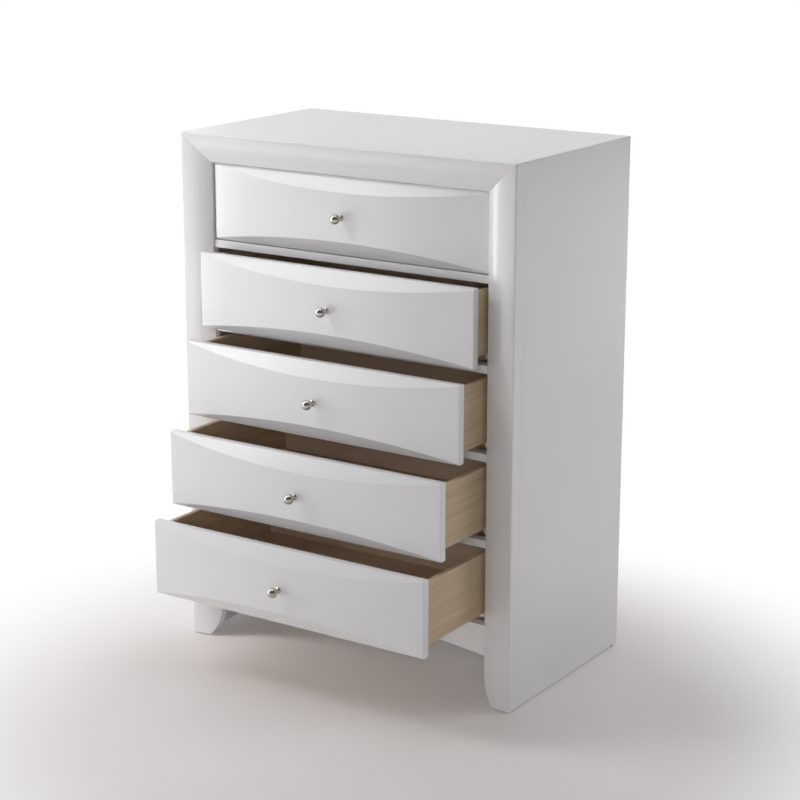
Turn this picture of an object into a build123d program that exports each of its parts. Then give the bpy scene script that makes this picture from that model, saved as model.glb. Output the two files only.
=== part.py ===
from build123d import *
import os

# Tall chest of five drawers in white lacquer, drawers stepped open as they were pictured.
# Millimetres, X to the right, Y to the back, Z up. The origin is on the floor, under the
# middle of the carcass. Depths are counted back from the face of the front frame.

os.makedirs("parts", exist_ok=True)

# Carcass
WIDTH = 889.0
DEPTH = 502.0
HEIGHT = 1219.0
BOARD = 19.0
ARRIS = 2.0
JOINT_EASE = 0.8
EDGE_EASE = 1.0
GLIDE_HEIGHT = 3.0
GLIDE_RADIUS = 9.0
GLIDE_INSET = 13.5

# Front frame: two posts and a top rail, one convex moulding with mitred corners
POST_WIDTH = 75.0
TOP_RAIL_HEIGHT = 66.0
FRAME_DEPTH = 34.5
FRAME_RECESS = 17.0
FRAME_FLAT = 10.0
FRAME_ROUND = 3.0
FOOT_TAPER_HEIGHT = 74.0
FOOT_TAPER_WIDTH = 28.0

# Drawer openings and the rails between them
DRAWER_COUNT = 5
OPENING_HEIGHT = 179.0
RAIL_THICKNESS = 18.0
RAIL_SETBACK = 21.0
RAIL_DEPTH = 40.0
RAIL_EASE = 1.5
APRON_END_HEIGHT = 73.0
APRON_ARCH = 25.0

# Back
BACK_THICKNESS = 6.0
BACK_INSET = 1.0
BACK_REBATE = 8.0
BACK_BOTTOM = 113.0
REAR_RAIL_HEIGHT = 70.0

# Drawer fronts: bowed in plan, with flat bevels that run out towards the ends
FRONT_WIDTH = 733.0
FRONT_HEIGHT = 175.0
FRONT_LIFT = 2.2
FRONT_SETBACK = 22.0
FRONT_THICKNESS = 18.0
FRONT_BOW = 22.0
FRONT_END_ROUND = 3.0
BEVEL_LAND = 2.0
BEVEL_RUN = 33.0

# Drawer boxes
BOX_WIDTH = 719.0
BOX_HEIGHT = 142.0
BOX_LIFT = 24.5
BOX_LENGTH = 405.0
SIDE_THICKNESS = 12.0
HOUSING = 6.0
BOTTOM_THICKNESS = 5.0
GROOVE_DEPTH = 6.0
GROOVE_SLACK = 0.1
GROOVE_LIFT = 8.0
DRAWER_TRAVEL = 300.0
OPEN_AT_REST = (0.0, 58.0, 112.0, 182.0, 247.0)

# Knobs
KNOB_HEAD_RADIUS = 11.5
KNOB_HEAD_UNDER = 8.5
KNOB_NECK_RADIUS = 4.2
KNOB_NECK_LENGTH = 4.0
KNOB_BASE_RADIUS = 7.2
KNOB_BASE_EDGE = 2.0
KNOB_FLARE = 6.0
KNOB_HOLE_DEPTH = 14.0
SCREW_RADIUS = 2.0
SCREW_HEAD_RADIUS = 5.0
SCREW_HEAD_HEIGHT = 2.5
SCREW_HEAD_ROUND = 1.0
SCREW_PLAY = 0.4

# Centre track, rear guide and front corner rollers
TRACK_START = 44.0
TRACK_END = 482.0
TRACK_HEIGHT = 12.0
TRACK_HALF_WIDTH = 14.0
TRACK_FLANGE = 8.0
SHEET = 1.2
FOLD = 1.8
STOP_WIDTH = 12.0
STOP_CORNER = 2.0
STOP_HEIGHT = 8.0
STOP_SLOT = 9.0
STOP_GAP = 0.3
SOCKET_DEPTH = 34.0
SOCKET_WALL = 2.4
SOCKET_CHEEK = 6.0
SOCKET_PLATE = 24.0
NOSE_WIDTH = 20.0
GUIDE_HALF_WIDTH = 28.0
GUIDE_CLEARANCE = 0.4
GUIDE_LIFT = 2.0
GUIDE_DEPTH = 20.0
GUIDE_PLATE = 4.0
GUIDE_PLATE_TOP = 62.0
GUIDE_CORNER = 8.0
GUIDE_WALL = 2.5
GUIDE_LEAD_IN = 2.0
ROLLER_RADIUS = 10.5
ROLLER_WIDTH = 13.0
ROLLER_ROUND = 1.2
ROLLER_RIM = 2.2
ROLLER_HUB_RADIUS = 5.4
ROLLER_DISH = 3.0
ROLLER_SETBACK = 55.0
ROLLER_CLEARANCE = 0.3
AXLE_RADIUS = 3.0
AXLE_PLAY = 0.06
AXLE_HEAD_RADIUS = 5.0
AXLE_HEAD_ROUND = 1.0
AXLE_SHOULDER_RADIUS = 4.5
AXLE_GAP = 0.4
BRACKET_THICKNESS = 1.5
BRACKET_WING = 30.0
BRACKET_ARM = 33.0
BRACKET_HEIGHT = 24.0
BRACKET_LIFT = 3.0
BRACKET_TIP = 8.0
BRACKET_CORNER = 4.0

FRONT = -DEPTH / 2
BACK = DEPTH / 2
HALF_WIDTH = WIDTH / 2
HALF_INSIDE = HALF_WIDTH - BOARD
HALF_OPENING = HALF_WIDTH - POST_WIDTH
PITCH = OPENING_HEIGHT + RAIL_THICKNESS
TOP_OF_OPENINGS = HEIGHT - TOP_RAIL_HEIGHT
BACK_INNER = BACK - BACK_INSET - BACK_THICKNESS
FRONT_BACK = FRONT + FRONT_SETBACK + FRONT_THICKNESS
BOX_BACK = FRONT_BACK + BOX_LENGTH
ROLLER_LIFT = BOX_LIFT - ROLLER_CLEARANCE - ROLLER_RADIUS
ROLLER_CENTRE = BOX_WIDTH / 2 - SIDE_THICKNESS / 2
KNOB_LENGTH = KNOB_BASE_EDGE + KNOB_FLARE + KNOB_NECK_LENGTH + KNOB_HEAD_UNDER + KNOB_HEAD_RADIUS


def opening_floor(number):
    """Height of the rail that drawer `number`, counted from the top, runs above."""
    return TOP_OF_OPENINGS - OPENING_HEIGHT - (number - 1) * PITCH


def block(x0, x1, y0, y1, z0, z1):
    """Board between two corners."""
    return Pos((x0 + x1) / 2, (y0 + y1) / 2, (z0 + z1) / 2) * Box(x1 - x0, y1 - y0, z1 - z0)


def prism_along_y(face, y0, y1):
    """Extrude an X-Z outline from y0 to y1."""
    return Pos(0, y0, 0) * extrude(Plane.XZ * face, y1 - y0, dir=(0, 1, 0))


def prism_along_x(face, x0, x1):
    """Extrude a Y-Z outline from x0 to x1."""
    return Pos(x0, 0, 0) * extrude(Plane.YZ * face, x1 - x0, dir=(1, 0, 0))


def folded_sheet(points, thickness):
    """Section of a sheet of even thickness, folded round along its middle line."""
    return trace(FilletPolyline(*points, radius=FOLD), thickness)


def mirrored(solid):
    """A piece and its mirror image on the other side of the chest."""
    return solid, mirror(solid, Plane.YZ)


def arris_waste():
    """What is rounded off the two upper edges of the carcass, where top and sides meet in a mitre."""
    square = Pos(0, HEIGHT / 2) * Rectangle(WIDTH, HEIGHT)
    rounded = fillet(square.vertices().group_by(Axis.Y)[-1], ARRIS)
    return prism_along_y(square - rounded, FRONT, BACK)


def save(name, *solids):
    """Write one node, as a single solid or as a group of like solids."""
    shape = solids[0] if len(solids) == 1 else Compound(children=list(solids))
    export_step(shape, f"parts/{name}.step")


# Front frame
def frame_profile(width):
    """Moulding across its width: flat beside the outer edge, then one arc back to the opening.

    The outer corner is rounded, the edge at the opening eased, and the edge that meets the
    side or the top chamfered, so that the joint shows as a fine groove.
    """
    flat = FRAME_FLAT * width / POST_WIDTH
    arc = TangentArc((flat, 0), (width, FRAME_RECESS), tangent=(1, 0))
    rest = Polyline((width, FRAME_RECESS), (width, FRAME_DEPTH), (0, FRAME_DEPTH), (0, 0), (flat, 0))
    face = make_face([arc, rest])
    face = fillet(face.vertices().sort_by_distance((0, 0, 0))[0], FRAME_ROUND)
    face = fillet(face.vertices().sort_by_distance((width, FRAME_RECESS, 0))[0], EDGE_EASE)
    return chamfer(face.vertices().sort_by_distance((0, FRAME_DEPTH, 0))[0], JOINT_EASE)


def mitre_plane():
    """Plane of the left mitre, its normal towards the top rail."""
    normal = (TOP_RAIL_HEIGHT, 0, POST_WIDTH)
    return Plane(origin=(-HALF_WIDTH, 0, HEIGHT), x_dir=(0, 1, 0), z_dir=normal)


def left_post():
    """Post with the mitre at its head and a foot that tapers in an arc."""
    post = Pos(-HALF_WIDTH, FRONT, GLIDE_HEIGHT) * extrude(frame_profile(POST_WIDTH), HEIGHT - GLIDE_HEIGHT)
    post = split(post, bisect_by=mitre_plane(), keep=Keep.BOTTOM)
    inner = -HALF_OPENING
    toe = inner - FOOT_TAPER_WIDTH
    arc = TangentArc((inner, FOOT_TAPER_HEIGHT), (toe, GLIDE_HEIGHT), tangent=(0, -1))
    corner = Polyline((toe, GLIDE_HEIGHT), (inner, GLIDE_HEIGHT), (inner, FOOT_TAPER_HEIGHT))
    post -= prism_along_y(make_face([arc, corner]), FRONT, FRONT + FRAME_DEPTH)
    return post - arris_waste()


def top_rail():
    """Top of the frame, mitred at both ends."""
    section = Plane(origin=(-HALF_WIDTH, FRONT, HEIGHT), x_dir=(0, 0, -1), z_dir=(1, 0, 0))
    rail = extrude(section * frame_profile(TOP_RAIL_HEIGHT), WIDTH)
    rail = split(rail, bisect_by=mitre_plane(), keep=Keep.TOP)
    rail = split(mirror(rail, Plane.YZ), bisect_by=mitre_plane(), keep=Keep.TOP)
    return rail - arris_waste()


# Carcass boards
def top_panel():
    """Top, mitred to the sides and rebated for the back."""
    under = HEIGHT - BOARD
    outline = Polygon(
        (-HALF_WIDTH, HEIGHT), (-HALF_INSIDE, under), (HALF_INSIDE, under), (HALF_WIDTH, HEIGHT), align=None
    )
    rebate = HALF_INSIDE + BACK_REBATE
    panel = prism_along_y(outline, FRONT + FRAME_DEPTH, BACK) - arris_waste()
    upper_edges = panel.edges().filter_by(Axis.X).group_by(Axis.Z)[-1].sort_by(Axis.Y)
    panel = chamfer(upper_edges[0], JOINT_EASE)
    return panel - block(-rebate, rebate, BACK_INNER, BACK, under, under + BACK_REBATE)


def left_side():
    """Side down to the glides, mitred to the top and rebated for the back."""
    outline = Polygon(
        (-HALF_WIDTH, GLIDE_HEIGHT),
        (-HALF_INSIDE, GLIDE_HEIGHT),
        (-HALF_INSIDE, HEIGHT - BOARD),
        (-HALF_WIDTH, HEIGHT),
        align=None,
    )
    rebate = HALF_INSIDE + BACK_REBATE
    top = HEIGHT - BOARD + BACK_REBATE
    side = prism_along_y(outline, FRONT + FRAME_DEPTH, BACK) - arris_waste()
    outer_edges = side.edges().filter_by(Axis.Z).group_by(Axis.X)[0].sort_by(Axis.Y)
    side = chamfer(outer_edges[0], JOINT_EASE)
    return side - block(-rebate, -HALF_INSIDE, BACK_INNER, BACK, GLIDE_HEIGHT, top)


def back_panel():
    """Thin back, a little sunk in the rebates."""
    half = HALF_INSIDE + BACK_REBATE
    rear = BACK - BACK_INSET
    return block(-half, half, BACK_INNER, rear, BACK_BOTTOM, HEIGHT - BOARD + BACK_REBATE)


def rear_rail():
    """Stretcher between the sides, inside the foot of the back."""
    near = BACK_INNER - BOARD
    top = BACK_BOTTOM + REAR_RAIL_HEIGHT
    return block(-HALF_INSIDE, HALF_INSIDE, near, BACK_INNER, BACK_BOTTOM, top)


def drawer_rail(number):
    """Rail under drawer `number`, its front edges eased."""
    top = opening_floor(number)
    near = FRONT + RAIL_SETBACK
    rail = block(-HALF_OPENING, HALF_OPENING, near, near + RAIL_DEPTH, top - RAIL_THICKNESS, top)
    return fillet(rail.edges().filter_by(Axis.X).group_by(Axis.Y)[0], RAIL_EASE)


def apron():
    """Board below the lowest drawer, its lower edge cut to a shallow arch."""
    top = opening_floor(DRAWER_COUNT)
    end = top - APRON_END_HEIGHT
    arch = ThreePointArc((-HALF_OPENING, end), (0, end + APRON_ARCH), (HALF_OPENING, end))
    rest = Polyline((HALF_OPENING, end), (HALF_OPENING, top), (-HALF_OPENING, top), (-HALF_OPENING, end))
    near = FRONT + RAIL_SETBACK
    board = prism_along_y(make_face([arch, rest]), near, near + BOARD)
    arch_edge = board.edges().filter_by(GeomType.CIRCLE).sort_by(Axis.Y)[0]
    board = chamfer(arch_edge, EDGE_EASE)
    top_edge = board.edges().filter_by(Axis.X).group_by(Axis.Z)[-1].sort_by(Axis.Y)[0]
    return fillet(top_edge, RAIL_EASE)


def bottom_rail():
    """Rail behind the apron, which carries the lowest track."""
    top = opening_floor(DRAWER_COUNT)
    near = FRONT + RAIL_SETBACK + BOARD
    far = FRONT + RAIL_SETBACK + RAIL_DEPTH
    return block(-HALF_OPENING, HALF_OPENING, near, far, top - RAIL_THICKNESS, top)


def glide(x, y):
    """Round floor glide."""
    return Pos(x, y, GLIDE_HEIGHT / 2) * Cylinder(GLIDE_RADIUS, GLIDE_HEIGHT)


def floor_glides():
    """Glides under the feet and under the back ends of the sides."""
    foot = HALF_WIDTH - (POST_WIDTH - FOOT_TAPER_WIDTH) / 2
    side = HALF_WIDTH - BOARD / 2
    front = FRONT + FRAME_DEPTH - GLIDE_INSET
    rear = BACK_INNER - GLIDE_INSET
    return [glide(-foot, front), glide(foot, front), glide(-side, rear), glide(side, rear)]


# Runners
def track(number):
    """Pressed steel hat section from the rail to the back, with a lanced tab that stops the drawer."""
    low = SHEET / 2
    top = TRACK_HEIGHT - SHEET / 2
    wide = TRACK_HALF_WIDTH - SHEET / 2
    flange = TRACK_HALF_WIDTH + TRACK_FLANGE
    hat = [(-flange, low), (-wide, low), (-wide, top), (wide, top), (wide, low), (flange, low)]
    rail = prism_along_y(folded_sheet(hat, SHEET), FRONT + TRACK_START, FRONT + TRACK_END)
    half = STOP_WIDTH / 2
    stop = BOX_BACK - GUIDE_DEPTH - DRAWER_TRAVEL - STOP_GAP
    under = TRACK_HEIGHT - SHEET
    tab = block(-half, half, stop - SHEET, stop, under, TRACK_HEIGHT + STOP_HEIGHT)
    tab = fillet(tab.edges().filter_by(Axis.Y).group_by(Axis.Z)[-1], STOP_CORNER)
    slot = block(-half, half, stop - SHEET - STOP_SLOT, stop - SHEET, under, TRACK_HEIGHT)
    return Pos(0, 0, opening_floor(number)) * (rail - slot + tab)


def track_socket(number):
    """Moulded socket on the back panel: a ledge and cheeks for the end of the track, and a stop nose."""
    half = TRACK_HALF_WIDTH + TRACK_FLANGE + SOCKET_WALL
    near = BACK_INNER - SOCKET_DEPTH
    face = FRONT + TRACK_END
    socket = block(-half, half, near, BACK_INNER, -SOCKET_WALL, 0)
    plate = block(-half, half, face, BACK_INNER, 0, SOCKET_PLATE)
    socket += fillet(plate.edges().filter_by(Axis.Y).group_by(Axis.Z)[-1], GUIDE_CORNER)
    inner = half - SOCKET_WALL + GROOVE_SLACK
    for cheek in mirrored(block(inner, half, near, face, 0, SOCKET_CHEEK)):
        socket += cheek
    tip = BOX_BACK + GUIDE_PLATE + STOP_GAP
    nose_low = TRACK_HEIGHT + GUIDE_CLEARANCE
    socket += block(-NOSE_WIDTH / 2, NOSE_WIDTH / 2, tip, face, nose_low, SOCKET_PLATE)
    return Pos(0, 0, opening_floor(number)) * socket


def roller_bracket(number):
    """Folded steel angle on the back of the right post."""
    near = FRONT + FRAME_DEPTH
    arm = HALF_OPENING - BRACKET_THICKNESS / 2
    wing = near + BRACKET_THICKNESS / 2
    angle = [(arm, near + BRACKET_ARM), (arm, wing), (arm + BRACKET_WING, wing)]
    bracket = extrude(folded_sheet(angle, BRACKET_THICKNESS), BRACKET_HEIGHT, dir=(0, 0, 1))
    bracket = fillet(bracket.edges().filter_by(Axis.X).group_by(Axis.Y)[-1], BRACKET_TIP)
    bracket = fillet(bracket.edges().filter_by(Axis.Y).group_by(Axis.X)[-1], BRACKET_CORNER)
    floor = opening_floor(number)
    hole = Rot(0, 90, 0) * Cylinder(AXLE_RADIUS, BRACKET_WING)
    bracket = Pos(0, 0, floor + BRACKET_LIFT) * bracket
    return bracket - Pos(HALF_OPENING, FRONT + ROLLER_SETBACK, floor + ROLLER_LIFT) * hole


def roller_axle(number):
    """Riveted pin: head, journal, shoulder and the rivet through the bracket."""
    near = ROLLER_CENTRE - ROLLER_WIDTH / 2 - AXLE_GAP
    shoulder = ROLLER_CENTRE + ROLLER_WIDTH / 2 + AXLE_GAP
    inner = HALF_OPENING - BRACKET_THICKNESS
    outline = Polygon(
        (near - BRACKET_THICKNESS, 0),
        (near - BRACKET_THICKNESS, AXLE_HEAD_RADIUS),
        (near, AXLE_HEAD_RADIUS),
        (near, AXLE_RADIUS),
        (shoulder, AXLE_RADIUS),
        (shoulder, AXLE_SHOULDER_RADIUS),
        (inner, AXLE_SHOULDER_RADIUS),
        (inner, AXLE_RADIUS),
        (HALF_OPENING, AXLE_RADIUS),
        (HALF_OPENING, AXLE_SHOULDER_RADIUS),
        (HALF_OPENING + BRACKET_THICKNESS, AXLE_RADIUS),
        (HALF_OPENING + BRACKET_THICKNESS, 0),
        align=None,
    )
    head = outline.vertices().group_by(Axis.X)[0].sort_by(Axis.Y)[-1]
    pin = revolve(fillet(head, AXLE_HEAD_ROUND), Axis.X)
    return Pos(0, FRONT + ROLLER_SETBACK, opening_floor(number) + ROLLER_LIFT) * pin


def roller(number):
    """Nylon roller under the right side of the drawer: a rim, a hub and a dished web between."""
    tyre = fillet(Cylinder(ROLLER_RADIUS, ROLLER_WIDTH).edges(), ROLLER_ROUND)
    dish = Cylinder(ROLLER_RADIUS - ROLLER_RIM, ROLLER_DISH) - Cylinder(ROLLER_HUB_RADIUS, ROLLER_DISH)
    for face in (-1, 1):
        tyre -= Pos(0, 0, face * (ROLLER_WIDTH - ROLLER_DISH) / 2) * dish
    tyre -= Cylinder(AXLE_RADIUS + AXLE_PLAY, ROLLER_WIDTH)
    place = Pos(ROLLER_CENTRE, FRONT + ROLLER_SETBACK, opening_floor(number) + ROLLER_LIFT)
    return place * Rot(0, 90, 0) * tyre


# Drawers, built closed over a floor at Z = 0 and then moved to where they stand
def drawer_front():
    """Bowed slab with a flat bevel along the top and the bottom, housed at the back for the box."""
    half = FRONT_WIDTH / 2
    ends = FRONT + FRONT_SETBACK
    crown = ends - FRONT_BOW
    bow = ThreePointArc((-half, ends), (0, crown), (half, ends))
    rest = Polyline((half, ends), (half, FRONT_BACK), (-half, FRONT_BACK), (-half, ends))
    plan = make_face([bow, rest])
    plan = fillet(plan.vertices().group_by(Axis.Y)[0], FRONT_END_ROUND)
    low = FRONT_LIFT
    high = FRONT_LIFT + FRONT_HEIGHT
    slab = Pos(0, 0, low) * extrude(plan, FRONT_HEIGHT)
    heel = ends + BEVEL_LAND
    upper = Polygon((heel, high), (crown, high - BEVEL_RUN), (crown, high), align=None)
    lower = Polygon((heel, low), (crown, low), (crown, low + BEVEL_RUN), align=None)
    slab -= prism_along_x(upper, -half, half)
    slab -= prism_along_x(lower, -half, half)
    faces = slab.faces().sort_by(Axis.Z)
    slab = fillet(faces[0].edges() + faces[-1].edges(), EDGE_EASE)
    slab -= bottom_space()
    for mortise in mirrored(side_end()):
        slab -= mortise
    middle = FRONT_LIFT + FRONT_HEIGHT / 2
    bore = Rot(90, 0, 0) * Cylinder(SCREW_RADIUS + SCREW_PLAY, 2 * (FRONT_THICKNESS + FRONT_BOW))
    return slab - Pos(0, ends, middle) * bore


def side_end():
    """End of the left side that is let into the front."""
    outer = -BOX_WIDTH / 2
    top = BOX_LIFT + BOX_HEIGHT
    return block(outer, outer + SIDE_THICKNESS, FRONT_BACK - HOUSING, FRONT_BACK, BOX_LIFT, top)


def bottom_space():
    """Groove for the bottom, with a little slack, in the front and both sides."""
    half = BOX_WIDTH / 2 - SIDE_THICKNESS + GROOVE_DEPTH
    low = BOX_LIFT + GROOVE_LIFT
    high = low + BOTTOM_THICKNESS + 2 * GROOVE_SLACK
    return block(-half, half, FRONT_BACK - GROOVE_DEPTH, BOX_BACK, low, high)


def drawer_bottom():
    """Thin board that slides into the grooves from behind, under the back."""
    half = BOX_WIDTH / 2 - SIDE_THICKNESS + GROOVE_DEPTH - GROOVE_SLACK
    low = BOX_LIFT + GROOVE_LIFT + GROOVE_SLACK
    near = FRONT_BACK - GROOVE_DEPTH + GROOVE_SLACK
    return block(-half, half, near, BOX_BACK, low, low + BOTTOM_THICKNESS)


def drawer_left_side():
    """Side board, grooved for the bottom and rebated for the back, its upper edges eased."""
    outer = -BOX_WIDTH / 2
    inner = outer + SIDE_THICKNESS
    top = BOX_LIFT + BOX_HEIGHT
    side = block(outer, inner, FRONT_BACK - HOUSING, BOX_BACK, BOX_LIFT, top)
    side = fillet(side.edges().filter_by(Axis.Y).group_by(Axis.Z)[-1], RAIL_EASE)
    side -= block(inner - HOUSING, inner, BOX_BACK - SIDE_THICKNESS, BOX_BACK, BOX_LIFT, top)
    return side - bottom_space()


def drawer_back():
    """Back board, let into the rebates of the sides and standing on the bottom."""
    half = BOX_WIDTH / 2 - SIDE_THICKNESS + HOUSING
    low = BOX_LIFT + GROOVE_LIFT + BOTTOM_THICKNESS + 2 * GROOVE_SLACK
    board = block(-half, half, BOX_BACK - SIDE_THICKNESS, BOX_BACK, low, BOX_LIFT + BOX_HEIGHT)
    return fillet(board.edges().filter_by(Axis.X).group_by(Axis.Z)[-1], RAIL_EASE)


def drawer_guide():
    """Moulded guide on the drawer back: a plate, and a shoe cored from below that straddles the track."""
    under = BOX_LIFT + GROOVE_LIFT + GROOVE_SLACK
    rear = BOX_BACK + GUIDE_PLATE
    near = BOX_BACK - GUIDE_DEPTH
    outline = Polygon(
        (near, GUIDE_LIFT),
        (rear, GUIDE_LIFT),
        (rear, GUIDE_PLATE_TOP),
        (BOX_BACK, GUIDE_PLATE_TOP),
        (BOX_BACK, under),
        (near, under),
        align=None,
    )
    shoe = prism_along_x(outline, -GUIDE_HALF_WIDTH, GUIDE_HALF_WIDTH)
    shoe = fillet(shoe.edges().filter_by(Axis.Y).group_by(Axis.Z)[-1], GUIDE_CORNER)
    half = TRACK_HALF_WIDTH + GUIDE_CLEARANCE
    shoe -= block(-half, half, near, rear, GUIDE_LIFT, TRACK_HEIGHT + GUIDE_CLEARANCE)
    mouths = shoe.edges().filter_by(Axis.Z).filter_by_position(Axis.X, -half, half)
    shoe = chamfer(mouths, GUIDE_LEAD_IN)
    inner = half + GUIDE_LEAD_IN + GUIDE_WALL
    outer = GUIDE_HALF_WIDTH - GUIDE_WALL
    core = block(inner, outer, near + GUIDE_WALL, BOX_BACK, GUIDE_LIFT, under - GUIDE_WALL)
    for pocket in mirrored(core):
        shoe -= pocket
    return shoe


def knob():
    """Turned knob: flared base, slim neck and a ball head, drilled for its screw."""
    neck_start = KNOB_BASE_EDGE + KNOB_FLARE
    neck_end = neck_start + KNOB_NECK_LENGTH
    rim = neck_end + KNOB_HEAD_UNDER
    edge = (KNOB_BASE_RADIUS, KNOB_BASE_EDGE)
    waist = (KNOB_NECK_RADIUS, neck_start)
    throat = (KNOB_NECK_RADIUS, neck_end)
    base = Polyline((0, 0), (KNOB_BASE_RADIUS, 0), edge)
    flare = TangentArc(waist, edge, tangent=(0, -1))
    neck = Line(waist, throat)
    under = TangentArc((KNOB_HEAD_RADIUS, rim), throat, tangent=(0, -1))
    dome = TangentArc((0, KNOB_LENGTH), (KNOB_HEAD_RADIUS, rim), tangent=(1, 0))
    axis = Line((0, KNOB_LENGTH), (0, 0))
    half_section = make_face([base, flare, neck, under, dome, axis])
    turned = revolve(Plane.XZ * half_section, Axis.Z)
    drilled = turned - Pos(0, 0, KNOB_HOLE_DEPTH / 2) * Cylinder(SCREW_RADIUS, KNOB_HOLE_DEPTH)
    middle = FRONT_LIFT + FRONT_HEIGHT / 2
    return Pos(0, FRONT + FRONT_SETBACK - FRONT_BOW, middle) * Rot(90, 0, 0) * drilled


def knob_screw():
    """Screw from inside the drawer, through the front and into the knob."""
    shank_length = FRONT_BOW + FRONT_THICKNESS + KNOB_HOLE_DEPTH
    shank = Cylinder(SCREW_RADIUS, shank_length)
    head = Cylinder(SCREW_HEAD_RADIUS, SCREW_HEAD_HEIGHT)
    head = fillet(head.edges().sort_by(Axis.Z)[0], SCREW_HEAD_ROUND)
    screw = shank + Pos(0, 0, -(shank_length + SCREW_HEAD_HEIGHT) / 2) * head
    middle = FRONT_LIFT + FRONT_HEIGHT / 2
    return Pos(0, FRONT_BACK - shank_length / 2, middle) * Rot(90, 0, 0) * screw


# Write the carcass
post_left, post_right = mirrored(left_post())
side_left, side_right = mirrored(left_side())
save("left_front_post", post_left)
save("right_front_post", post_right)
save("top_front_rail", top_rail())
save("top_panel", top_panel())
save("left_side_panel", side_left)
save("right_side_panel", side_right)
save("back_panel", back_panel())
save("rear_rail", rear_rail())
save("apron", apron())
save("bottom_rail", bottom_rail())
save("floor_glides", *floor_glides())
levels = range(1, DRAWER_COUNT + 1)
for level in levels[:-1]:
    save(f"drawer_rail_{level}", drawer_rail(level))
save("center_tracks", *[track(level) for level in levels])
save("track_sockets", *[track_socket(level) for level in levels])
save("roller_brackets", *[piece for level in levels for piece in mirrored(roller_bracket(level))])
save("roller_axles", *[piece for level in levels for piece in mirrored(roller_axle(level))])

# Write the drawers
box_left, box_right = mirrored(drawer_left_side())
drawer_pieces = {
    "front": [drawer_front()],
    "left_side": [box_left],
    "right_side": [box_right],
    "back": [drawer_back()],
    "bottom": [drawer_bottom()],
    "guide": [drawer_guide()],
    "knob": [knob(), knob_screw()],
}
for level, pulled_out in zip(levels, OPEN_AT_REST):
    place = Pos(0, -pulled_out, opening_floor(level))
    for name, solids in drawer_pieces.items():
        save(f"drawer_{level}_{name}", *[place * solid for solid in solids])
    save(f"front_rollers_{level}", *mirrored(roller(level)))
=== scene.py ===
# %% [markdown]
# # A white five-drawer chest, finished in Blender
#
# The chest comes in as a fixed frame: every board, knob and roller already has its size and place.
# This lesson adds what the eye reads first: lacquer, wood, metal, small fastenings, light and a camera.

# %% Load the frame
import math

import bmesh
import bpy
from mathutils import Matrix, Vector


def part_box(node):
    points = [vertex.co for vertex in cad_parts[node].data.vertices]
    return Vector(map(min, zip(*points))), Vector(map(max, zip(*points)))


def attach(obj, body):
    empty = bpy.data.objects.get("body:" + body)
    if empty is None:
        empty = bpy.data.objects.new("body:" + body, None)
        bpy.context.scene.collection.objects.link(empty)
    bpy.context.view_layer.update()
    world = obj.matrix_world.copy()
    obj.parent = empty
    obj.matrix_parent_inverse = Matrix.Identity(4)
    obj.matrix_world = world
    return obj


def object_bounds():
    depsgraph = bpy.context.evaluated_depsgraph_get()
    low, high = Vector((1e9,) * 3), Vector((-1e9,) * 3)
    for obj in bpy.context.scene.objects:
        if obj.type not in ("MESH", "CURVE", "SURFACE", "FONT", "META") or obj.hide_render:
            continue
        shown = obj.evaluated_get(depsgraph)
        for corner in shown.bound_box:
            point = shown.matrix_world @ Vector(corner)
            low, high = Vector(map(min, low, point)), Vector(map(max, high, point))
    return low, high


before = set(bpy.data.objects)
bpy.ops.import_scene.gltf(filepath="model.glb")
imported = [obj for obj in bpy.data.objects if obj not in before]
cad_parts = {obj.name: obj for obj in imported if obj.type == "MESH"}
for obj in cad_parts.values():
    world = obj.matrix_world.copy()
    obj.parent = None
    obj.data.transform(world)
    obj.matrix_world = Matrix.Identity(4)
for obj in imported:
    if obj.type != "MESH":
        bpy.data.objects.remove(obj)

cad_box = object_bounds()
LOW, HIGH = cad_box
print("chest spans", [round(v, 4) for v in LOW], "to", [round(v, 4) for v in HIGH])

# %% [markdown]
# ## Camera
#
# The chest is seen from its right front corner, from a little above its top, with a long lens.
# A camera can be aimed with a Track To constraint, but plain angles are easier to read back from a fit,
# so its turn about the vertical and its tilt are written as degrees.

# %% Camera
CAMERA_PLACE = (2.606, -3.928, 1.873)
CAMERA_TURN = 33.67
CAMERA_TILT = 15.17
CAMERA_LENS = 93.9

camera_data = bpy.data.cameras.new("camera")
camera_data.lens = CAMERA_LENS
camera = bpy.data.objects.new("camera", camera_data)
camera.location = CAMERA_PLACE
camera.rotation_euler = (math.radians(90 - CAMERA_TILT), 0, math.radians(CAMERA_TURN))
bpy.context.scene.collection.objects.link(camera)
bpy.context.scene.camera = camera
bpy.context.scene.view_settings.view_transform = "Standard"
print("camera", round((Vector(CAMERA_PLACE) - (LOW + HIGH) / 2).length, 2), "m from the middle of the chest")

# %% [markdown]
# ## Helpers for materials
#
# Colours are picked as sRGB hex values, as on a paint card, and a shader wants linear numbers,
# so one function converts them. Another adds a node of any kind: its inputs may be numbers or the outputs
# of other nodes, and it gives back one output, ready to be linked on.
# The third turns the real size of a pattern into a texture scale, because object coordinates are in metres.


# %% Helpers
def srgb(code):
    """Linear colour of an sRGB hex value such as #f0efee."""
    parts = [int(code[i : i + 2], 16) / 255 for i in (1, 3, 5)]
    linear = [c / 12.92 if c <= 0.04045 else ((c + 0.055) / 1.055) ** 2.4 for c in parts]
    return (*linear, 1.0)


def add(tree, kind, inputs=None, give=0, **settings):
    """Add a node, set its options, fill or link its inputs, and give back one of its outputs."""
    node = tree.nodes.new("ShaderNode" + kind)
    for name, value in settings.items():
        setattr(node, name, value)
    for name, value in (inputs or {}).items():
        if isinstance(value, bpy.types.NodeSocket):
            tree.links.new(value, node.inputs[name])
        else:
            node.inputs[name].default_value = value
    return node.outputs[give]


def per_metre(millimetres):
    """Texture scale at which a pattern repeats about every so many millimetres."""
    return 1000.0 / millimetres


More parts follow.
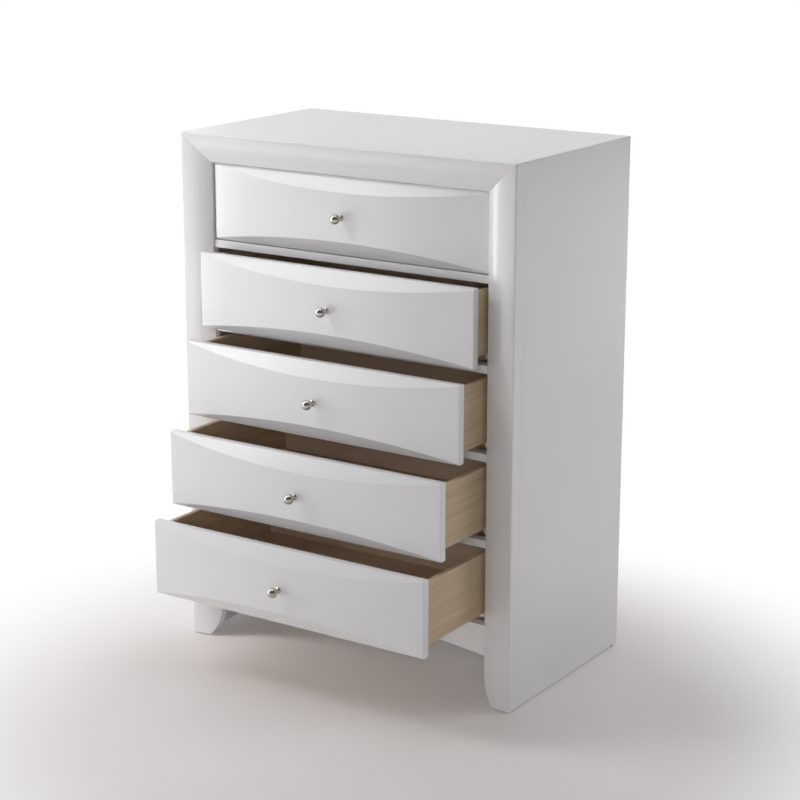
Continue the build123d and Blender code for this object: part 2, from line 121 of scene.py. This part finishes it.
print("mid grey", [round(c, 3) for c in srgb("#808080")[:3]], "and a 5 mm pattern has scale", per_metre(5))

# %% [markdown]
# ## Floor and background
#
# The chest stands on a pale studio floor that runs out into white with no horizon.
# A curved backdrop would do it, but a flat floor is simpler. Close to the chest it is a real pale floor
# that takes the shadow, under a faint white glow for the camera and reflections: painted light that lifts
# that shadow. Further out it turns into plain white for the camera and for reflections, and it still
# sends the same light back to the chest.

# %% Floor
FLOOR_HALF_SIZE = 9.0
FLOOR_MIDDLE = (0.24, -0.39, 0.0)
FLOOR_NEAR = 0.6
FLOOR_FAR = 1.3
# Share of plain white glow kept on the floor next to the chest: a painted lift of its shadow.
FLOOR_GLOW_LIFT = 0.05
FLOOR_CLOUD_MM = 700


def rays_that_look(tree):
    """1 for rays that see the background: from the camera, from gloss and through glass."""
    seen = add(tree, "LightPath", give="Is Camera Ray")
    for kind in ("Is Glossy Ray", "Is Transmission Ray"):
        ray = add(tree, "LightPath", give=kind)
        seen = add(tree, "Math", {0: seen, 1: ray}, operation="MAXIMUM")
    return seen


def new_material(name, **inputs):
    """Material with one Principled shader, and the constants set on the shader's own sockets."""
    material = bpy.data.materials.new(name)
    material.use_nodes = True
    shader = material.node_tree.nodes["Principled BSDF"]
    for socket, value in inputs.items():
        shader.inputs[socket].default_value = value
    return material, material.node_tree, shader


def staged(name, bm, material):
    """Turn a bmesh into a studio object that is not part of the chest."""
    mesh = bpy.data.meshes.new(name)
    bm.to_mesh(mesh)
    bm.free()
    mesh.materials.append(material)
    piece = bpy.data.objects.new(name, mesh)
    bpy.context.scene.collection.objects.link(piece)
    return piece


# Matt studio paint: the eye sees an even pale ground with soft shadows and no shine.
floor_paint, tree, surface = new_material("studio_floor", Roughness=0.7)
spot = add(tree, "TexCoord", give="Object")
clouds = add(tree, "TexNoise", {"Vector": spot, "Scale": per_metre(FLOOR_CLOUD_MM), "Detail": 3.0})
pale = add(tree, "MixRGB", {"Fac": clouds, "Color1": srgb("#f6f1f0"), "Color2": srgb("#faf6f5")})
tree.links.new(pale, surface.inputs["Base Color"])
away = add(tree, "VectorMath", {0: spot, 1: FLOOR_MIDDLE}, give="Value", operation="DISTANCE")
reach = {"Value": away, "From Min": FLOOR_NEAR, "From Max": FLOOR_FAR, "To Min": FLOOR_GLOW_LIFT}
fade = add(tree, "MapRange", reach, interpolation_type="SMOOTHSTEP")
white = add(tree, "Emission", {"Color": srgb("#ffffff"), "Strength": 1.0})
# The fade never drops below the glow lift, so a little painted white also lies over the floor's shadow.
share = add(tree, "Math", {0: fade, 1: rays_that_look(tree)}, operation="MULTIPLY")
blend = add(tree, "MixShader", {0: share, 1: surface.outputs[0], 2: white})
tree.links.new(blend, tree.nodes["Material Output"].inputs["Surface"])

bm = bmesh.new()
bmesh.ops.create_grid(bm, x_segments=1, y_segments=1, size=FLOOR_HALF_SIZE)
staged("floor", bm, floor_paint)
print("floor of", 2 * FLOOR_HALF_SIZE, "m, white from", FLOOR_FAR, "m away")

# %% [markdown]
# ## World
#
# The world could light the whole chest, but light from everywhere leaves white boards flat.
# So it gives only a trace of light, and the lamps shape the chest.
# Rays that look at the background see plain white, whatever light the world gives.

# %% World
SKY_STRENGTH = 0.01

world = bpy.data.worlds.new("studio")
bpy.context.scene.world = world
world.use_nodes = True
tree = world.node_tree
sky = tree.nodes["Background"]
sky.inputs["Color"].default_value = srgb("#ffffff")
sky.inputs["Strength"].default_value = SKY_STRENGTH
backdrop = add(tree, "Background", {"Color": srgb("#ffffff"), "Strength": 1.0})
choice = add(tree, "MixShader", {0: rays_that_look(tree), 1: sky.outputs[0], 2: backdrop})
tree.links.new(choice, tree.nodes["World Output"].inputs["Surface"])
print("world gives light of strength", SKY_STRENGTH, "and looks white")

# %% [markdown]
# ## Lamps
#
# White boards are read by small steps of tone, so each face needs a light of its own,
# as in a product studio. One big lamp could do for a first look, but it gives every bevel the same grey.
# Here soft boxes stand on the left, on the right, above, behind and beside the camera,
# each weak enough to keep some tone in the white fronts.
# Two of them light the chest without showing in its gloss, so that the top and the fronts stay even.


# %% Lamps
def soft_box(name, place, aim, width, height, watts, in_gloss=True):
    """Rectangular lamp at a place, turned to a point, unseen by the camera."""
    lamp = bpy.data.lights.new(name, "AREA")
    lamp.shape = "RECTANGLE"
    lamp.size = width
    lamp.size_y = height
    lamp.energy = watts
    box = bpy.data.objects.new(name, lamp)
    box.location = place
    box.rotation_mode = "QUATERNION"
    box.rotation_quaternion = (Vector(aim) - Vector(place)).to_track_quat("-Z", "Y")
    box.visible_camera = False
    box.visible_glossy = in_gloss
    bpy.context.scene.collection.objects.link(box)
    print(f"{name} {watts} W, {width} x {height} m")


# Narrow and upright: the light from the left, and the thin bright line down the right post.
soft_box("left_soft_box", (-1.95, -1.2, 1.0), (0, -0.2, 0.7), width=0.45, height=1.6, watts=17.5)
# High on the left: the bright arc on the upper bevels.
soft_box("left_high_soft_box", (-1.2, -1.1, 2.5), (0, -0.2, 0.8), width=0.7, height=0.7, watts=8)
# Small, so that the knobs throw a shadow with an edge.
soft_box("key_spot", (-1.7, -1.45, 2.2), (0, -0.25, 0.8), width=0.5, height=0.5, watts=7.5)
# Above the chest: the tone of the top.
soft_box("overhead_soft_box", (0.0, 0.1, 3.2), (0, 0.1, 0.8), width=2.0, height=2.0, watts=15)
# On the right: the tone of the side board.
soft_box(
    "right_soft_box", (2.6, 1.3, 1.6), (0.4, 0.1, 0.5), width=1.6, height=2.0, watts=21, in_gloss=False
)
# Behind on the left: the left board, and the floor to the left.
soft_box("rear_left_soft_box", (-2.2, 1.2, 2.4), (0, 0, 0.4), width=1.5, height=1.5, watts=9)
# Low behind: the back, and the floor behind the chest.
soft_box("rear_low_soft_box", (0.2, 2.4, 0.5), (0, 0.2, 0.1), width=2.0, height=0.8, watts=16)
# Low on the left: the lower bevels, which face the floor.
soft_box("low_left_soft_box", (-1.6, -2.2, 0.4), (0, -0.3, 0.6), width=1.2, height=0.7, watts=4.5)
# Beside the camera: it looks into the open drawers as the camera does.
soft_box(
    "fill_soft_box", (2.45, -3.75, 1.75), (0, -0.2, 0.6), width=1.2, height=0.9, watts=33, in_gloss=False
)

# %% [markdown]
# ## Dim studio behind the camera
#
# Polished metal shows the room round it. The knobs are mostly grey, because the studio is dim behind
# the camera and to its right. A grey curtain on a round track stands for that part of the room, as a painted
# reflection. It could be lit by lamps of its own, but a faint glow gives the same grey with less to adjust.
# Only gloss sees it: it takes no light away from the chest and throws no shadow.

# %% Grey curtain
CURTAIN_RADIUS = 6.5
CURTAIN_LOW = 0.2
CURTAIN_HIGH = 22.0
CURTAIN_PANELS = 24
CURTAIN_FOLD_MM = 900
# Degrees round the chest, counted from straight in front of it towards its right.
CURTAIN_START = -45
CURTAIN_END = 165

# Grey glow, not lit cloth: a painted reflection of a dim room, which a knob shows as a soft, uneven dusk.
reflection_glow_cloth = bpy.data.materials.new("grey_reflection_glow")
reflection_glow_cloth.use_nodes = True
tree = reflection_glow_cloth.node_tree
spot = add(tree, "TexCoord", give="Object")
folds = add(tree, "TexNoise", {"Vector": spot, "Scale": per_metre(CURTAIN_FOLD_MM), "Detail": 2.0})
grey = add(tree, "MixRGB", {"Fac": folds, "Color1": srgb("#65615e"), "Color2": srgb("#7d7975")})
glow = add(tree, "Emission", {"Color": grey, "Strength": 1.0})
tree.links.new(glow, tree.nodes["Material Output"].inputs["Surface"])

bm = bmesh.new()
start = Matrix.Rotation(math.radians(CURTAIN_START), 3, "Z") @ Vector((0, -CURTAIN_RADIUS, 0))
hem = bm.verts.new((start.x, start.y, CURTAIN_LOW))
track = bm.verts.new((start.x, start.y, CURTAIN_HIGH))
fall = bm.edges.new((hem, track))
sweep = {"axis": (0, 0, 1), "angle": math.radians(CURTAIN_END - CURTAIN_START), "steps": CURTAIN_PANELS}
bmesh.ops.spin(bm, geom=[hem, track, fall], cent=(0, 0, 0), **sweep)
curtain = staged("grey_curtain", bm, reflection_glow_cloth)
curtain.visible_camera = False
curtain.visible_diffuse = False
curtain.visible_transmission = False
curtain.visible_shadow = False
print("grey curtain of", len(curtain.data.polygons), "panels,", CURTAIN_RADIUS, "m from the chest")

# %% [markdown]
# ## Rounded edges
#
# Every edge of the real chest is sanded or worn a little round, and the edges in the frame are sharp.
# A Bevel modifier would round them, but the meshes of the frame stay as they are.
# A Bevel node rounds only the light on them. Where its normal leaves the normal of the face there is
# an arris, which is where a finish wears, so the same node also gives the mask for edge wear.

# %% Rounded edges
BEVEL_SAMPLES = 4
# The two normals agree with a dot product of 1 on a face, and with less on an arris.
ARRIS_STARTS = 0.99
ARRIS_FULL = 0.8
ARRIS_SHARE = 0.3


def edge_mask(tree, radius_mm):
    """Rounded normal of the arrises, and a mask that rises to the share of wear on them."""
    rounded = add(tree, "Bevel", {"Radius": radius_mm / 1000}, samples=BEVEL_SAMPLES)
    straight = add(tree, "NewGeometry", give="Normal")
    agree = add(tree, "VectorMath", {0: rounded, 1: straight}, give="Value", operation="DOT_PRODUCT")
    limits = {"Value": agree, "From Min": ARRIS_STARTS, "From Max": ARRIS_FULL, "To Max": ARRIS_SHARE}
    return rounded, add(tree, "MapRange", limits)


def set_surface(tree, shader, colour, level, smooth, rough, bump):
    """Link colour, a roughness that follows a level, and a bump, to the shader."""
    tree.links.new(colour, shader.inputs["Base Color"])
    gloss = add(tree, "MapRange", {"Value": level, "To Min": smooth, "To Max": rough})
    tree.links.new(gloss, shader.inputs["Roughness"])
    tree.links.new(add(tree, "Bump", bump), shader.inputs["Normal"])


print("wear covers up to", ARRIS_SHARE, "of the colour on an arris")

# %% [markdown]
# ## White lacquered MDF
#
# The outside is MDF sprayed with a white semi-gloss lacquer. It could be one flat white, but a sprayed coat
# is never quite even: it clouds slowly over a hand's width, thins and greys on the arrises, and dries with
# a faint orange peel. It is smooth enough to draw a lamp as a bright line on the posts and the bevels,
# and too rough to show the room as a picture.

# %% White lacquer
LACQUER_ARRIS_MM = 1.5
LACQUER_CLOUD_MM = 260
LACQUER_SMOOTH = 0.2
LACQUER_ROUGH = 0.26
# Real orange peel is a few millimetres across. It is drawn at nine, so that the picture can show it.
PEEL_MM = 9
PEEL_DEPTH = 0.0002
PEEL_STRENGTH = 0.25


def white_lacquer():
    """Sprayed semi-gloss: the eye reads a clean, slightly uneven white with soft bright lines."""
    material, tree, shader = new_material("white_lacquered_mdf", IOR=1.5)
    spot = add(tree, "TexCoord", give="Object")
    rounded, arris = edge_mask(tree, LACQUER_ARRIS_MM)
    clouds = add(tree, "TexNoise", {"Vector": spot, "Scale": per_metre(LACQUER_CLOUD_MM), "Detail": 2.0})
    coat = add(tree, "MixRGB", {"Fac": clouds, "Color1": srgb("#f2f1f3"), "Color2": srgb("#ecebed")})
    colour = add(tree, "MixRGB", {"Fac": arris, "Color1": coat, "Color2": srgb("#dfdbd5")})
    peel = add(tree, "TexNoise", {"Vector": spot, "Scale": per_metre(PEEL_MM), "Detail": 1.0})
    bump = {"Height": peel, "Normal": rounded, "Strength": PEEL_STRENGTH, "Distance": PEEL_DEPTH}
    set_surface(tree, shader, colour, clouds, LACQUER_SMOOTH, LACQUER_ROUGH, bump)
    return material


lacquer = white_lacquer()
print("made", lacquer.name)

# %% [markdown]
# ## Pale hardwood and boards
#
# Drawer sides and backs are thin boards of a pale hardwood under a clear coat, the bottoms a pale laminate,
# the hidden rail and stretcher bare pine. A photograph of wood could be wrapped on them, but a solid texture
# runs through the board: long fibres on the face become dots on the end, as in real wood.
# The fibres are the same noise stretched far along one axis, so one function serves every board.

# %% Wood
WOOD_ARRIS_MM = 1.0
FIBRE_STRETCH = 0.015
BAND_MM = 45
# Real pores are a tenth of a millimetre wide. They are drawn at two, so that the picture can show them.
PORE_MM = 2.0
PORE_SHARE = 0.5
# Where the summed bands and streaks turn fully dark and fully light, and where pores start and are full.
TONE_DARK = 0.65
TONE_LIGHT = 1.35
PIT_STARTS = 0.55
PIT_FULL = 0.8
DULL_STREAKS = 0.1
GRAIN_DEPTH = 0.0002
GRAIN_STRENGTH = 0.3


def wood(name, grain, light, dark, pore, streak_mm, sheen):
    """Straight-grained wood: the eye follows soft bands, finer streaks and faint pores along one axis."""
    material, tree, shader = new_material(name, IOR=1.5)
    spot = add(tree, "TexCoord", give="Object")
    stretch = tuple(FIBRE_STRETCH if along else 1.0 for along in grain)
    fibres = add(tree, "Mapping", {"Vector": spot, "Scale": stretch})
    rounded, arris = edge_mask(tree, WOOD_ARRIS_MM)
    wander = {"Detail": 4.0, "Roughness": 0.6, "Distortion": 0.2}
    streaks = add(tree, "TexNoise", {"Vector": fibres, "Scale": per_metre(streak_mm), **wander})
    bands = add(tree, "TexNoise", {"Vector": fibres, "Scale": per_metre(BAND_MM), "Detail": 2.0})
    both = add(tree, "Math", {0: streaks, 1: bands}, operation="ADD")
    tone = add(tree, "MapRange", {"Value": both, "From Min": TONE_DARK, "From Max": TONE_LIGHT})
    board = add(tree, "MixRGB", {"Fac": tone, "Color1": srgb(dark), "Color2": srgb(light)})
    fine = add(tree, "TexNoise", {"Vector": fibres, "Scale": per_metre(PORE_MM), "Detail": 1.0})
    pits = add(tree, "MapRange", {"Value": fine, "From Min": PIT_STARTS, "From Max": PIT_FULL})
    stain = add(tree, "Math", {0: pits, 1: PORE_SHARE}, operation="MULTIPLY")
    pitted = add(tree, "MixRGB", {"Fac": stain, "Color1": board, "Color2": srgb(pore)})
    colour = add(tree, "MixRGB", {"Fac": arris, "Color1": pitted, "Color2": srgb(light)})
    relief = add(tree, "Math", {0: tone, 1: pits}, operation="SUBTRACT")
    bump = {"Height": relief, "Normal": rounded, "Strength": GRAIN_STRENGTH, "Distance": GRAIN_DEPTH}
    set_surface(tree, shader, colour, tone, sheen + DULL_STREAKS, sheen, bump)
    return material


ALONG_X = (1, 0, 0)
ALONG_Y = (0, 1, 0)
# Light streak, dark streak and pore of each board.
SIDE_TONES = ("#d6c1a5", "#bfa685", "#947c5d")
# Backs and bottoms are paler than the sides: painted light that lifts the shade inside the drawers.
BACK_TONES_LIFTED = ("#f0dcc6", "#e2cbb2", "#bda385")
BOTTOM_TONES_LIFTED = ("#e8d2bc", "#d8bfa8", "#bca188")
PINE_TONES = ("#d8c097", "#bd9d70", "#9c7a4e")
side_wood = wood("rubberwood_sides", ALONG_Y, *SIDE_TONES, streak_mm=8, sheen=0.5)
backs_lifted_wood = wood("rubberwood_backs_lifted", ALONG_X, *BACK_TONES_LIFTED, streak_mm=8, sheen=0.5)
bottoms_lifted_board = wood("laminate_bottoms_lifted", ALONG_X, *BOTTOM_TONES_LIFTED, streak_mm=12, sheen=0.45)
rail_wood = wood("carcass_pine", ALONG_X, *PINE_TONES, streak_mm=9, sheen=0.6)
print("made", side_wood.name, backs_lifted_wood.name, bottoms_lifted_board.name, rail_wood.name)

# %% [markdown]
# ## Hardboard
#
# The back is hardboard: pressed fibres with no direction, brown, slightly blotched and matt.
# A wood texture would give it a grain that it doesn't have, so it is two plain noises instead:
# a large one for the blotches and a fine one for the fibres.

# %% Hardboard
BLOTCH_MM = 120
# Real fibres are far finer. They are drawn at four millimetres, so that the picture can show them.
FELT_MM = 4
FLECK_STARTS = 0.45
FLECK_FULL = 0.75
FLECK_SHARE = 0.4
FELT_DEPTH = 0.0002
FELT_STRENGTH = 0.3
BOARD_SMOOTH = 0.55
BOARD_ROUGH = 0.7


def hardboard(name, light, dark, fleck):
    """Brown felted board: the eye sees large soft blotches under a fine speckle of fibres."""
    material, tree, shader = new_material(name, IOR=1.45)
    spot = add(tree, "TexCoord", give="Object")
    rounded, arris = edge_mask(tree, WOOD_ARRIS_MM)
    blotches = add(tree, "TexNoise", {"Vector": spot, "Scale": per_metre(BLOTCH_MM), "Detail": 3.0})
    crisp = {"Detail": 3.0, "Roughness": 0.7}
    fibres = add(tree, "TexNoise", {"Vector": spot, "Scale": per_metre(FELT_MM), **crisp})
    board = add(tree, "MixRGB", {"Fac": blotches, "Color1": srgb(dark), "Color2": srgb(light)})
    limits = {"From Min": FLECK_STARTS, "From Max": FLECK_FULL, "To Max": FLECK_SHARE}
    flecks = add(tree, "MapRange", {"Value": fibres, **limits})
    flecked = add(tree, "MixRGB", {"Fac": flecks, "Color1": board, "Color2": srgb(fleck)})
    colour = add(tree, "MixRGB", {"Fac": arris, "Color1": flecked, "Color2": srgb(light)})
    bump = {"Height": fibres, "Normal": rounded, "Strength": FELT_STRENGTH, "Distance": FELT_DEPTH}
    set_surface(tree, shader, colour, blotches, BOARD_SMOOTH, BOARD_ROUGH, bump)
    return material


back_board = hardboard("back_hardboard", "#b3926d", "#a08059", "#866848")
print("made", back_board.name)

# %% [markdown]
# ## Plated metal
#
# The knobs are nickel plated and polished, the runners zinc plated steel. Both are metals to the shader:
# their colour is what they reflect. A perfect mirror would be simpler, but it looks like a drawing of metal,
# so the roughness and the colour cloud slowly over a few millimetres, and worn edges are a little brighter.

# %% Metal
METAL_ARRIS_MM = 0.4
PLATE_DEPTH = 0.0001
PLATE_STRENGTH = 0.1


def metal(name, light, dark, cloud_mm, smooth, rough):
    """Plated metal: the eye sees clouded reflections, and edges rubbed a little brighter."""
    material, tree, shader = new_material(name, Metallic=1.0)
    spot = add(tree, "TexCoord", give="Object")
    rounded, arris = edge_mask(tree, METAL_ARRIS_MM)
    clouds = add(tree, "TexNoise", {"Vector": spot, "Scale": per_metre(cloud_mm), "Detail": 4.0})
    plate = add(tree, "MixRGB", {"Fac": clouds, "Color1": srgb(dark), "Color2": srgb(light)})
    colour = add(tree, "MixRGB", {"Fac": arris, "Color1": plate, "Color2": srgb(light)})
    bump = {"Height": clouds, "Normal": rounded, "Strength": PLATE_STRENGTH, "Distance": PLATE_DEPTH}
    set_surface(tree, shader, colour, clouds, smooth, rough, bump)
    return material


# Polished nickel is warm and draws each lamp as a small bright spot. Zinc plate is cooler and duller.
nickel = metal("nickel_plate", "#c4bfb7", "#b4aea5", cloud_mm=6.0, smooth=0.14, rough=0.22)
zinc = metal("zinc_plated_steel", "#dcdedf", "#caced1", cloud_mm=5.0, smooth=0.5, rough=0.62)
print("made", nickel.name, zinc.name)

# %% [markdown]
# ## Moulded nylon
#
# Guides, rollers and floor glides are moulded nylon. It could share the lacquer's shader with other colours,
# but a moulding has no orange peel: it takes the fine grain of its mould and is paler on its thin edges.

# %% Nylon
NYLON_ARRIS_MM = 0.5
NYLON_CLOUD_MM = 14
# Real mould grain is a few tenths of a millimetre. It is drawn coarser, so that a close view can show it.
MOULD_GRAIN_MM = 1.2
MOULD_DEPTH = 0.0001
MOULD_STRENGTH = 0.15
NYLON_SMOOTH = 0.38
NYLON_ROUGH = 0.5


def nylon(name, light, dark):
    """Moulded plastic: the eye sees an even tone with a fine grain from the mould."""
    material, tree, shader = new_material(name, IOR=1.53)
    spot = add(tree, "TexCoord", give="Object")
    rounded, arris = edge_mask(tree, NYLON_ARRIS_MM)
    clouds = add(tree, "TexNoise", {"Vector": spot, "Scale": per_metre(NYLON_CLOUD_MM), "Detail": 3.0})
    body = add(tree, "MixRGB", {"Fac": clouds, "Color1": srgb(dark), "Color2": srgb(light)})
    colour = add(tree, "MixRGB", {"Fac": arris, "Color1": body, "Color2": srgb(light)})
    grain = add(tree, "TexNoise", {"Vector": spot, "Scale": per_metre(MOULD_GRAIN_MM), "Detail": 2.0})
    bump = {"Height": grain, "Normal": rounded, "Strength": MOULD_STRENGTH, "Distance": MOULD_DEPTH}
    set_surface(tree, shader, colour, clouds, NYLON_SMOOTH, NYLON_ROUGH, bump)
    return material


guide_nylon = nylon("white_nylon", "#e4e2da", "#d9d6cc")
roller_nylon = nylon("roller_nylon", "#e9e7e0", "#dedbd2")
# The glides are made dark to match the dark line under the feet and sides, which is shade: painted shade on
# real glides.
dark_nylon = nylon("dark_nylon", "#3b3a39", "#2e2d2c")
print("made", guide_nylon.name, roller_nylon.name, dark_nylon.name)

# %% [markdown]
# ## Finishes on the frame
#
# Each CAD node carries the name of its material slot, and one table says which finish that slot gets.
# A list of nodes would do too, but it would have to be kept in step with the frame.
# Drawer backs share a slot with the sides, and they take the wood whose fibres run across the drawer,
# in paler tones that paint light into the shaded inside of the drawers.

# %% Finishes
finishes = {
    "white_lacquer": lacquer,
    "drawer_wood": side_wood,
    "drawer_bottom_wood": bottoms_lifted_board,
    "carcass_wood": rail_wood,
    "back_board": back_board,
    "satin_nickel": nickel,
    "zinc_steel": zinc,
    "guide_nylon": guide_nylon,
    "roller_nylon": roller_nylon,
    "glide_nylon": dark_nylon,
}
for name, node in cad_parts.items():
    slot_name = node.material_slots[0].material.name.split(".")[0]
    across = name.startswith("drawer_") and name.endswith("_back")
    node.material_slots[0].material = backs_lifted_wood if across else finishes[slot_name]
print(len(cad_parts), "nodes finished with", len(finishes), "slots")

# %% [markdown]
# ## Feet of the roller brackets
#
# Under each front roller the steel bracket has a flat foot on the rail, seen as a grey patch below
# the drawer side. It could be painted on the rail, but a plate shows its own thin edge,
# so each foot is a thin block, and a bevel rounds the two corners at its free end.

# %% Bracket feet
FOOT_WIDTH = 0.036
FOOT_LENGTH = 0.02
FOOT_THICKNESS = 0.0015
FOOT_CORNER = 0.004
# How far the foot stands out in front of the roller.
FOOT_LEAD = 0.005
# The upright arm of the bracket, between the foot and the post.
ARM_THICKNESS = 0.0015


def piece_of(name, bm, material, body):
    """Turn a bmesh into a piece that rides on a body of the chest."""
    bmesh.ops.recalc_face_normals(bm, faces=bm.faces)
    mesh = bpy.data.meshes.new(name)
    bm.to_mesh(mesh)
    bm.free()
    mesh.materials.append(material)
    piece = bpy.data.objects.new(name, mesh)
    bpy.context.scene.collection.objects.link(piece)
    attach(piece, body)
    return piece


rails = ["drawer_rail_1", "drawer_rail_2", "drawer_rail_3", "drawer_rail_4", "bottom_rail"]
size = Matrix.Diagonal((FOOT_WIDTH, FOOT_LENGTH, FOOT_THICKNESS, 1))
bm = bmesh.new()
for level, rail in enumerate(rails, start=1):
    rail_low, rail_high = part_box(rail)
    roller_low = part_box(f"front_rollers_{level}")[0]
    reach = rail_high.x - ARM_THICKNESS - FOOT_WIDTH / 2
    for x in (-reach, reach):
        y = roller_low.y - FOOT_LEAD + FOOT_LENGTH / 2
        place = Matrix.Translation((x, y, rail_high.z + FOOT_THICKNESS / 2))
        bmesh.ops.create_cube(bm, size=1.0, matrix=place @ size)
upright = [e for e in bm.edges if abs(e.verts[0].co.z - e.verts[1].co.z) > FOOT_THICKNESS / 2]
free = [e for e in upright if abs(e.verts[0].co.x) < reach]
bmesh.ops.bevel(bm, geom=free, offset=FOOT_CORNER, affect="EDGES", segments=4, profile=0.5, material=-1)
feet = piece_of("roller_bracket_feet", bm, zinc, "carcass")
print(len(free) // 2, "bracket feet,", len(feet.data.polygons), "faces")

# %% [markdown]
# ## Panel pins
#
# The back is held in its rebates by small round-headed pins, a hand's width apart.
# They could be a bump in the material, but real heads catch the light,
# so each is a low disc with a rounded rim.

# %% Panel pins
PIN_RADIUS = 0.0022
PIN_HEIGHT = 0.0006
PIN_ROUND = 0.0003
PIN_INSET = 0.004
PIN_SPACING = 0.15
PIN_SIDES = 16


def spread(start, end):
    """Places from start to end, at nearly the wanted spacing."""
    count = round((end - start) / PIN_SPACING)
    return [start + (end - start) * step / count for step in range(count + 1)]


back_low, back_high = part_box("back_panel")
inner_low = back_low + Vector((PIN_INSET, 0, PIN_INSET))
inner_high = back_high - Vector((PIN_INSET, 0, PIN_INSET))
rail_low, rail_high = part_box("rear_rail")
rail_middle = (rail_low.z + rail_high.z) / 2
pin_places = [(x, z) for z in spread(inner_low.z, inner_high.z) for x in (inner_low.x, inner_high.x)]
pin_places += [(x, z) for x in spread(inner_low.x, inner_high.x)[1:-1] for z in (rail_middle, inner_high.z)]

bm = bmesh.new()
backwards = Matrix.Rotation(math.radians(-90), 4, "X")
disc = {"segments": PIN_SIDES, "radius1": PIN_RADIUS, "radius2": PIN_RADIUS, "depth": PIN_HEIGHT}
for x, z in pin_places:
    spot = Matrix.Translation((x, back_high.y + PIN_HEIGHT / 2, z)) @ backwards
    bmesh.ops.create_cone(bm, cap_ends=True, matrix=spot, **disc)
rims = [e for e in bm.edges if all(v.co.y > back_high.y + PIN_HEIGHT / 2 for v in e.verts)]
bmesh.ops.bevel(bm, geom=rims, offset=PIN_ROUND, affect="EDGES", segments=2, profile=0.5, material=-1)
pins = piece_of("back_panel_pins", bm, zinc, "carcass")
print(len(pin_places), "panel pins,", len(pins.data.polygons), "faces")
